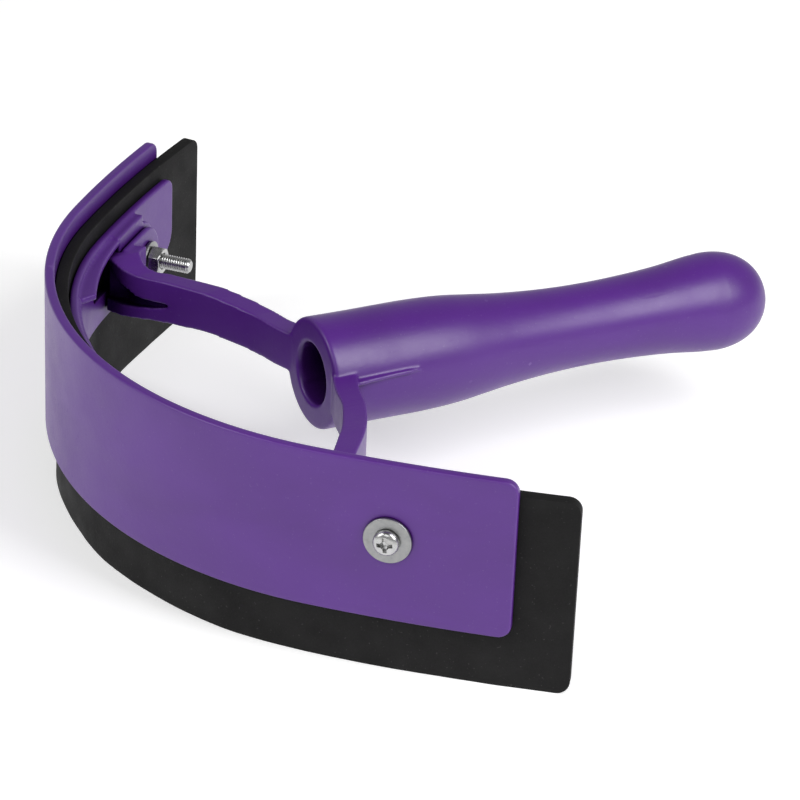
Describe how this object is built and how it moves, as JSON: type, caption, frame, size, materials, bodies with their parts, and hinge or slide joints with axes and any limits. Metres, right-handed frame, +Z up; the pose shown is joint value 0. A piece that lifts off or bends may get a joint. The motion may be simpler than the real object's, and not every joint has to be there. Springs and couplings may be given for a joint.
{
  "type": "horse sweat scraper",
  "caption": "Bowed rubber-lipped sweat scraper with a two-armed yoke and hollow grip, for wiping water off a horse's coat.",
  "frame": {"origin": "middle of the footprint, in the plane of the rubber's lower edge", "axes": "+X along the grip away from the blade, +Y to the left end of the blade, +Z up from the rubber's lower edge"},
  "size_m": [0.2352, 0.2642, 0.0677],
  "materials": {
    "moulded_plastic": "satin injection-moulded polypropylene, purple",
    "blade_rubber": "matt black rubber",
    "zinc_steel": "bright zinc-plated steel"
  },
  "bodies": {
    "root": {"handle_yoke": "moulded_plastic", "clamp_plate": "moulded_plastic", "outer_band": "moulded_plastic", "rubber_blade": "blade_rubber", "screw_left": "zinc_steel", "screw_right": "zinc_steel", "head_washer_left": "zinc_steel", "head_washer_right": "zinc_steel", "nut_washer_left": "zinc_steel", "nut_washer_right": "zinc_steel", "nut_left": "zinc_steel", "nut_right": "zinc_steel"}
  },
  "joints": []
}
